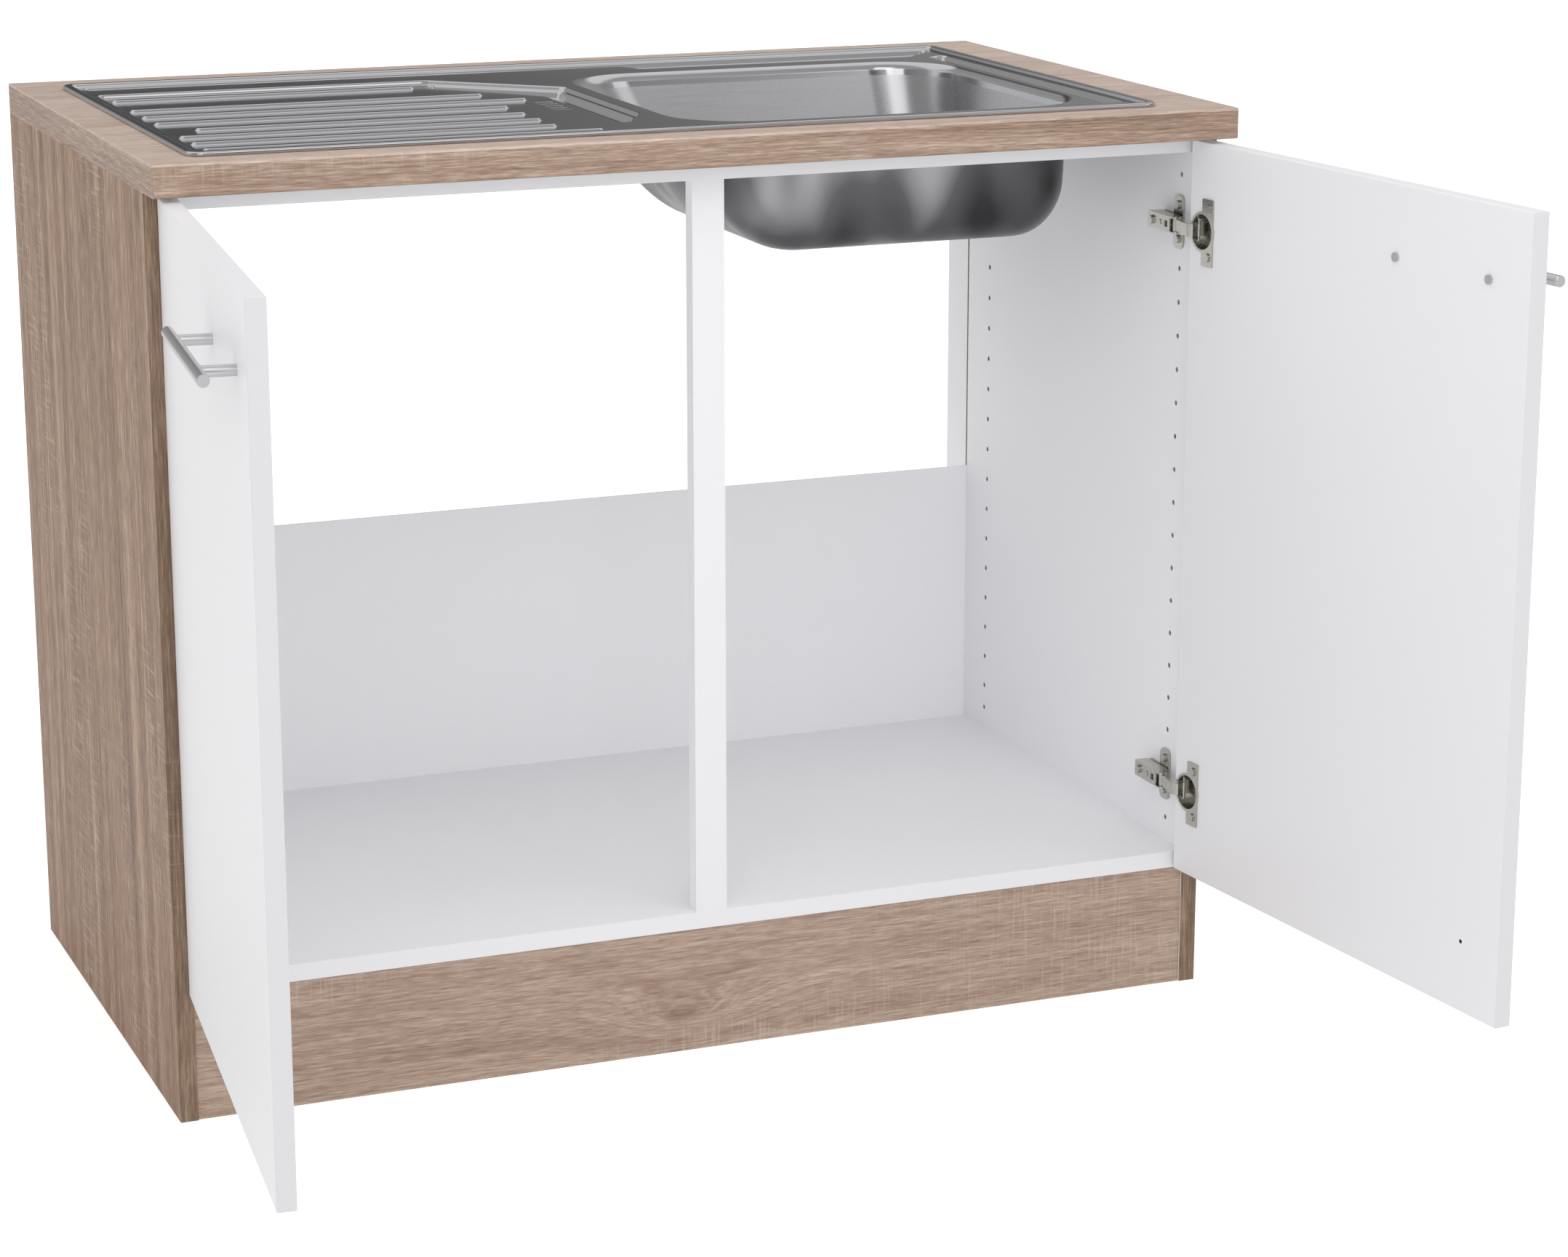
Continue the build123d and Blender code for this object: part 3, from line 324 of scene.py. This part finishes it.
def doors():
    """Both doors: white faces, greyer bands of painted shade on the upright edges, and a pilot hole
    near the free lower corner, not cut but painted as a dark disc of shade. reach runs from the
    hinges to the free edge and depth from the inner face out, as the doors stand open."""
    f = Finish("white_doors", Roughness=0.4, Specular_IOR_Level=0.42)
    corners = [(abs(v.co.x), v.co.y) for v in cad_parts["door_left"].data.vertices]
    reaches = [-x * cos(DOOR_OPEN) - y * sin(DOOR_OPEN) for x, y in corners]
    inner = min(x * sin(DOOR_OPEN) - y * cos(DOOR_OPEN) for x, y in corners)
    reach = f.x.size() * -cos(DOOR_OPEN) - f.y * sin(DOOR_OPEN)
    depth = f.x.size() * sin(DOOR_OPEN) - f.y * cos(DOOR_OPEN)
    # The greyer bands on the upright edges are painted shade.
    shaded_band = reach.above(max(reaches) - EDGE_SKIN) + reach.below(min(reaches) + EDGE_SKIN)
    aside, above = reach - (max(reaches) - PILOT_EDGE), f.z - PILOT_Z
    pilot = (aside * aside + above * above).below(PILOT_R ** 2) * depth.below(inner + PILOT_DEEP)
    face = f.blend(shaded_band.clamped(), white_colour(f, DOOR_WHITE, DOOR_COOL), DOOR_EDGE_SHADE)
    # The pilot hole is not cut: a dark disc of painted shade stands in for it.
    f.feed("Base Color", f.blend(pilot, face, PILOT_HOLE_SHADE))
    peel = f.noise(f.place, 900.0, 2.0, 0.6)
    f.feed("Roughness", peel * 0.10 + 0.34)
    f.bump(peel, 0.00004, 0.3)
    f.put_on("door_right", "door_left")


def hardboard_back():
    """Low back panel: white hardboard whose sheen varies with its fibres."""
    f = Finish("white_faced_hardboard", Roughness=0.5, Specular_IOR_Level=0.35)
    f.feed("Base Color", white_colour(f))
    f.feed("Roughness", f.noise(f.place, 240.0, 4.0, 0.7) * 0.1 + 0.42)
    f.put_on("back_panel")


# ---------------------------------------------------------------- finishes: metal and small parts
def steel(name, colour, rough, along, bump=0.00001, dull_below=-1.0):
    """Satin steel, brushed along one axis, and duller below a height."""
    f = Finish(name, Metallic=1.0, Roughness=rough)
    brush = f.noise(f.stretch(f.place, *along), detail=2.0, rough=0.6)
    cloud = f.noise(f.place, 9.0, 2.0)
    tint = tuple(v * 0.90 for v in colour)
    f.feed("Base Color", f.blend((brush * 0.7 + cloud * 0.3).clamped(), tint, colour))
    dull = f.z.below(dull_below) * 0.14
    f.feed("Roughness", brush * 0.10 + cloud * 0.06 + (rough - 0.08) + dull)
    f.bump(brush, bump, 0.5)
    return f


def small_parts():
    """Handles, hinges, zinc fittings, dowels and the seal under the sink's rim."""
    handle = steel("handle_satin_steel", tone(206, 206, 208), 0.30, (900.0, 900.0, 24.0))
    handle.put_on(*[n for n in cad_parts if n.startswith(("handle_bar", "handle_posts"))])

    nickel = steel("hinge_nickel", tone(196, 193, 186), 0.27, (500.0, 500.0, 500.0), 0.000004)
    nickel.put_on(*[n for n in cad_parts
                    if n.startswith("hinge_") and "plate_screws" not in n])

    f = Finish("zinc_plate", Metallic=1.0, Roughness=0.38)
    patchy_cloud = f.noise(f.place, 130.0, 3.0, 0.6)
    f.feed("Base Color", f.blend(patchy_cloud, tone(176, 180, 184), tone(214, 212, 200)))
    f.feed("Roughness", patchy_cloud * 0.2 + 0.28)
    zinc = ("cam_", "mullion_screws", "back_panel_pins", "worktop_brackets", "bracket_screws",
            "sink_rails", "sink_clamp", "handle_screws")
    f.put_on(*[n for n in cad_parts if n.startswith(zinc) or "plate_screws" in n])

    f = Finish("bare_beech", Roughness=0.62)
    rays = f.noise(f.stretch(f.place, 60.0, 500.0, 500.0), detail=2.0)
    f.feed("Base Color", f.blend(rays, tone(196, 158, 112), tone(222, 190, 148)))
    f.feed("Roughness", rays * 0.15 + 0.55)
    f.put_on("dowels")

    f = Finish("seal_foam", Roughness=0.85)
    cells = f.noise(f.place, 1500.0, 2.0, 0.7)
    f.feed("Base Color", f.blend(cells, tone(40, 40, 42), tone(78, 78, 80)))
    f.bump(cells, 0.0002, 0.8)
    f.put_on("sink_seal")


# ---------------------------------------------------------------- sink
def s_curve(run, drop, count=7):
    """Steps of a rounded lip, slope and foot, as (inward, upward) pairs. A drop is downward."""
    level = [-drop * (1 - cos(pi * i / count)) / 2 for i in range(count + 1)]
    return [(run / count, level[i + 1] - level[i]) for i in range(count)]


def arc(radius, start, end, count):
    """Steps along a rounding whose slope goes from start to end degrees below level."""
    angles = [radians(start + (end - start) * i / count) for i in range(count + 1)]
    sign = 1 if end > start else -1
    return [(sign * radius * (sin(b) - sin(a)), -sign * radius * (cos(a) - cos(b)))
            for a, b in zip(angles, angles[1:])]


def neighbours(points):
    """Each point with the one before it and the one after it, round a loop."""
    return list(zip(points[-1:] + points[:-1], points, points[1:] + points[:1]))


def outline(bm, corners, z, radius, segments=8, grow=0.0):
    """A flat face with rounded corners, from corners that run anticlockwise. grow moves its edges
    outward first."""
    points = [Vector((x, y)) for x, y in corners]
    if grow:
        moved = []
        for before, p, after in neighbours(points):
            a, b = (p - before).normalized(), (after - p).normalized()
            out_a, out_b = Vector((a.y, -a.x)), Vector((b.y, -b.x))
            moved.append(p + (out_a + out_b) * grow / (1 + out_a.dot(out_b)))
        points = moved
    verts = [bm.verts.new((p.x, p.y, z)) for p in points]
    bm.faces.new(verts)
    for v, (before, p, after) in zip(verts, neighbours(points)):
        half = (before - p).normalized().angle((after - p).normalized()) / 2
        reach = radius * max(cos(half) / (1.4142 * sin(half) ** 2), sin(2 * half))
        rounded = bmesh.ops.bevel(bm, geom=[v], offset=reach, offset_type="OFFSET",
                                  affect="VERTICES", segments=segments, profile=0.5, material=-1)
    return rounded["verts"][0].link_faces[0]


def round_slot(bm, x0, x1, y, z, radius, segments=24):
    """A flat face with half-round ends, from a circle whose two halves are drawn apart."""
    verts = bmesh.ops.create_circle(bm, cap_ends=True, segments=segments, radius=radius,
                                    matrix=Matrix.Rotation(pi / segments, 4, "Z"))["verts"]
    for v in verts:
        v.co = Vector((v.co.x + (x1 - radius if v.co.x > 0 else x0 + radius), v.co.y + y, z))
    face = verts[0].link_faces[0]
    face.normal_update()
    if face.normal.z < 0:
        face.normal_flip()
    return face


def press(bm, face, steps):
    """Insets the face step by step. Each step moves its edge inward and the face up or down."""
    for inward, upward in steps:
        bmesh.ops.inset_region(bm, faces=[face], thickness=inward, depth=upward,
                               use_boundary=True, use_even_offset=True)


def box_corners(x0, y0, x1, y1):
    return [(x0, y0), (x1, y0), (x1, y1), (x0, y1)]


def sink_point(x, y):
    """A place on the sink, given in millimetres from its left front corner."""
    return SINK_X0 + x / 1000, SINK_Y0 + y / 1000


def sink_points(corners):
    return [sink_point(x, y) for x, y in corners]


def flat_between(bm, z, faces, outer=None):
    """Takes the flat faces away and fills what lies between the loops at height z."""
    bmesh.ops.delete(bm, geom=faces, context="FACES_ONLY")
    loops = [e for e in bm.edges if e.is_boundary or e.is_wire]
    loops = [e for e in loops if all(abs(v.co.z - z) < 1e-6 for v in e.verts)]
    if outer:
        x0, y0, x1, y1 = outer
        loops = [e for e in loops if all(x0 < v.co.x < x1 and y0 < v.co.y < y1 for v in e.verts)]
    bmesh.ops.triangle_fill(bm, edges=loops, use_beauty=True, use_dissolve=False, normal=(0, 0, 1))


def make_sink():
    """The sink's deck, drainer and bowl as one pressed sheet with rounded lips. A narrow flat ring
    before and after each slope keeps its lips round and the flats flat."""
    bm = bmesh.new()
    ring, fine_ring = [(0.0004, 0.0)], [(0.0002, 0.0)]
    slope = 0.0046

    # Rim: up from the worktop, over a rolled edge, and down a slope to the deck.
    rim_lift, rim_roll = 0.0003, 0.0022
    rim = box_corners(SINK_X0, SINK_Y0, SINK_X0 + SINK_W, SINK_Y0 + SINK_D)
    deck = outline(bm, rim, TOP_Z + rim_lift, RIM_R)
    rolled = [(abs(inward), abs(upward)) for inward, upward in arc(rim_roll, 86, 0, 6)]
    press(bm, deck, [(0.00006, 0.00165)] + rolled + [(slope, 0.0)])
    press(bm, deck, s_curve(slope, deck.verts[0].co.z - DECK_Z, 6) + ring)

    # Pockets that open at deck level.
    pocket_deep = 0.005
    ledge = [(18, 472), (548, 472), (558, 445), (845, 443), (882, 482), (880, 492), (18, 492)]
    strip = [(861, 36), (882, 36), (882, 448), (861, 433)]
    drainer = [(18, 30), (382, 30), (420, 82), (442, 126), (442, 334), (334, 434), (18, 434)]
    for corners in (ledge, strip):
        face = outline(bm, sink_points(corners), DECK_Z, 0.0057, grow=0.0010)
        press(bm, face, ring + s_curve(slope, pocket_deep) + ring)
    well = outline(bm, sink_points(drainer), DECK_Z, 0.0085, grow=0.0012)
    press(bm, well, fine_ring + s_curve(0.0036, DECK_Z - DRAINER_Z) + fine_ring)

    # Bowl: rounded lip, wall and rounded foot, then drawn in towards the smaller floor.
    lip, foot, corner = 0.0075, 0.052, 0.066
    wall = DECK_Z - BOWL_Z - lip - foot
    before = set(bm.verts)
    mouth = box_corners(BOWL_X0, BOWL_Y0, BOWL_X1, BOWL_Y1)
    bowl = outline(bm, mouth, DECK_Z, corner + lip, 16, grow=lip)
    press(bm, bowl, arc(lip, 0, 90, 9) + [(0.00002, -wall / 4)] * 4 + arc(foot, 90, 0, 12))
    floor_z = bowl.verts[0].co.z
    for v in set(bm.verts) - before:
        t = (DECK_Z - v.co.z) / (DECK_Z - floor_z)
        left, right = BOWL_X0 + (FOOT_X0 - BOWL_X0) * t, BOWL_X1 + (FOOT_X1 - BOWL_X1) * t
        near, far = BOWL_Y0 + (FOOT_Y0 - BOWL_Y0) * t, BOWL_Y1 + (FOOT_Y1 - BOWL_Y1) * t
        v.co.x = left + (v.co.x - BOWL_X0) * (right - left) / (BOWL_X1 - BOWL_X0)
        v.co.y = near + (v.co.y - BOWL_Y0) * (far - near) / (BOWL_Y1 - BOWL_Y0)
    middle = Vector(((FOOT_X0 + FOOT_X1) / 2, (FOOT_Y0 + FOOT_Y1) / 2, floor_z))
    waste_lip = 0.0004
    waste = bmesh.ops.create_circle(bm, cap_ends=False, segments=64,
                                    radius=WASTE_R + waste_lip)["verts"]
    bmesh.ops.translate(bm, verts=waste, vec=middle)
    edges = list({e for v in waste for e in v.link_edges})
    made = bmesh.ops.extrude_edge_only(bm, edges=edges)["geom"]
    for v in [g for g in made if isinstance(g, bmesh.types.BMVert)]:
        v.co = middle + (v.co - middle) * (WASTE_R / (WASTE_R + waste_lip))
        v.co.z = floor_z - waste_lip
    flat_between(bm, floor_z, [bowl], (BOWL_X0, BOWL_Y0, BOWL_X1, BOWL_Y1))

    # Ribs, trough and overflow slots in the drainer. Ribs are (row, start, end).
    rib_r, rib_high, trough_deep = 0.0071, 0.0026, 0.007
    slot_x, slot_y, slot_pitch, slot_long, slot_r = 389, 236, 15, 0.018, 0.00175
    ribs = [(55, 25, 384), (97, 25, 355), (140, 25, 355), (185, 50, 355),
            (235, 25, 355), (283, 25, 388), (330, 25, 360), (405, 25, 316)]
    for row, start, end in ribs:
        x0, y0 = sink_point(start - 0.6, row)
        rib = round_slot(bm, x0, sink_point(end + 0.6, row)[0], y0, DRAINER_Z, rib_r, 32)
        press(bm, rib, ring + s_curve(0.0034, -rib_high) + ring)
    trough = [(412, 110), (415, 99), (427, 103), (438.5, 128), (438.5, 331), (337, 425), (325, 411),
              (412, 304)]
    trough = outline(bm, sink_points(trough), DRAINER_Z, 0.0060)
    press(bm, trough, fine_ring + s_curve(0.0052, trough_deep, 8) + fine_ring)
    slots = []
    for i in range(5):
        x0, y0 = sink_point(slot_x, slot_y + (i - 2) * slot_pitch)
        slots.append(round_slot(bm, x0, x0 + slot_long, y0, DRAINER_Z, slot_r))
    margin = 0.002
    x0, y0 = sink_point(18, 30)
    x1, y1 = sink_point(442, 434)
    area = (x0 - margin, y0 - margin, x1 + margin, y1 + margin)
    flat_between(bm, DRAINER_Z, [well] + slots, area)
    flat_between(bm, DECK_Z, [deck])

    bmesh.ops.remove_doubles(bm, verts=bm.verts, dist=1e-6)
    bmesh.ops.recalc_face_normals(bm, faces=bm.faces)
    if sum(f.normal.z * f.calc_area() for f in bm.faces) < 0:
        bmesh.ops.reverse_faces(bm, faces=bm.faces)
    for face in bm.faces:
        face.smooth = True
    mesh = bpy.data.meshes.new("pressed_sink")
    bm.to_mesh(mesh)
    bm.free()
    sink = bpy.data.objects.new("pressed_sink", mesh)
    bpy.context.scene.collection.objects.link(sink)
    sheet = sink.modifiers.new("sheet", "SOLIDIFY")
    sheet.thickness, sheet.offset, sheet.material_offset = SHEET, -1.0, 1
    sink.modifiers.new("flats", "WEIGHTED_NORMAL").keep_sharp = True
    finish = steel("sink_satin_steel", tone(196, 196, 198), 0.13, (14.0, 900.0, 900.0), 0.0000012,
                   DECK_Z - 0.012)
    mesh.materials.append(finish.material)
    # The underside's darker grey is partly the rougher metal's own and partly painted reflection;
    # the cloud of greys over it is painted reflection.
    under = steel("sink_dull_underside_painted_reflection", tone(134, 134, 136), 0.34, (60.0, 60.0, 9.0), 0.00002)
    patchy_cloud = under.noise(under.stretch(under.place, 9.0, 9.0, 3.0), detail=2.0)
    greys = [(0.36, tone(62, 62, 64)), (0.52, tone(102, 102, 104)), (0.66, tone(176, 176, 178))]
    under.feed("Base Color", under.ramp(patchy_cloud, greys))
    mesh.materials.append(under.material)
    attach(sink, "carcass")
    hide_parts("sink_deck", "sink_bowl")


# ---------------------------------------------------------------- studio
def grey(level):
    return (level, level, level)


def studio():
    """A pale floor, a white world and three soft lamps."""
    floor_glow, floor_in_steel, daylight = 0.44, 0.40, 0.92
    floor_mesh = bpy.data.meshes.new("studio_floor")
    bm = bmesh.new()
    bmesh.ops.create_grid(bm, x_segments=1, y_segments=1, size=14.0)
    bm.to_mesh(floor_mesh)
    bm.free()
    floor = bpy.data.objects.new("studio_floor", floor_mesh)
    bpy.context.scene.collection.objects.link(floor)
    f = Finish("studio_floor", Roughness=0.9, Specular_IOR_Level=0.0)
    f.shader.inputs["Base Color"].default_value = (*grey(0.93), 1.0)
    f.shader.inputs["Emission Color"].default_value = (*grey(1.0), 1.0)
    f.feed("Emission Strength", f.node("LightPath", out="Is Camera Ray") * floor_glow)
    floor_mesh.materials.append(f.material)

    world = bpy.data.worlds.new("studio")
    bpy.context.scene.world = world
    world.use_nodes = True
    w = Shading(world.node_tree)
    back = next(n for n in w.tree.nodes if n.type == "BACKGROUND")
    camera_ray, glossy, through = w.node(
        "LightPath", out=("Is Camera Ray", "Is Glossy Ray", "Is Transmission Ray"))
    side, ahead, up = w.axes(w.node("TexCoord", out="Generated"))
    # What the steel sees: a pale ceiling over walls whose greys change from left to right.
    turned = side * 0.5 + 0.5
    rear_greys = [(0.0, 0.9), (0.25, 0.5), (0.45, 0.38), (0.56, 0.07), (0.63, 0.10),
                  (0.70, 0.24), (0.85, 0.45), (1.0, 0.5)]
    front_greys = [(0.0, 0.42), (0.30, 0.16), (0.46, 0.60), (0.58, 0.22), (0.64, 0.14),
                   (0.70, 0.60), (0.85, 0.40), (1.0, 0.3)]
    rear_wall, front_wall = [w.ramp(turned, [(place, grey(level)) for place, level in greys])
                             for greys in (rear_greys, front_greys)]
    front = (0.5 - ahead * 4.0).clamped()
    wall = w.blend(front, rear_wall, front_wall)
    ceiling = w.blend(front, grey(1.0), grey(0.5))
    seen_in_steel = w.blend(((up - 0.42) * 8.0).clamped(), wall, ceiling)
    seen_in_steel = w.blend((0.5 - up * 10.0).clamped(), seen_in_steel, grey(floor_in_steel))
    plain = (camera_ray + through).clamped()
    colour = w.blend(glossy, grey(1.0), seen_in_steel)
    strength = plain + (1.0 - plain) * (glossy + (1.0 - glossy) * daylight)
    w.tree.links.new(colour.out, back.inputs["Color"])
    w.tree.links.new(strength.out, back.inputs["Strength"])

    lamp("front_softbox", (-1.7, -3.9, 2.9), (0.1, 0.0, 0.4), 2.6, 29.0)
    lamp("high_softbox", (0.2, -2.2, 3.2), (0.0, -0.1, 0.3), 1.8, 11.0)
    lamp("right_softbox", (3.0, -2.8, 2.6), (0.0, 0.0, 0.5), 2.2, 10.0)


def lamp(name, place, target, size, power):
    """A square soft lamp that faces its target. size is in metres and power in watts."""
    data = bpy.data.lights.new(name, "AREA")
    data.shape, data.size, data.energy = "SQUARE", size, power
    obj = bpy.data.objects.new(name, data)
    obj.location = place
    obj.rotation_euler = (Vector(target) - Vector(place)).to_track_quat("-Z", "Y").to_euler()
    bpy.context.scene.collection.objects.link(obj)


def camera():
    """The photograph's view. The focal length was measured in pixels of its width."""
    photo_width, focal_pixels = 2156, 5403.8
    data = bpy.data.cameras.new("photo_view")
    data.sensor_fit, data.sensor_width = "HORIZONTAL", 36.0
    data.lens = focal_pixels / photo_width * data.sensor_width
    data.clip_end = 60.0
    obj = bpy.data.objects.new("photo_view", data)
    obj.location = (-1.21096, -3.22989, 1.29997)
    obj.rotation_euler = (pi / 2 - 0.2571, 0.0, -0.3813)
    bpy.context.scene.collection.objects.link(obj)
    bpy.context.scene.camera = obj


camera()
oak_boards()
oak_worktop()
oak_plinth()
white_boards()
doors()
hardboard_back()
small_parts()
make_sink()
studio()
bpy.context.scene.view_settings.view_transform = "Standard"
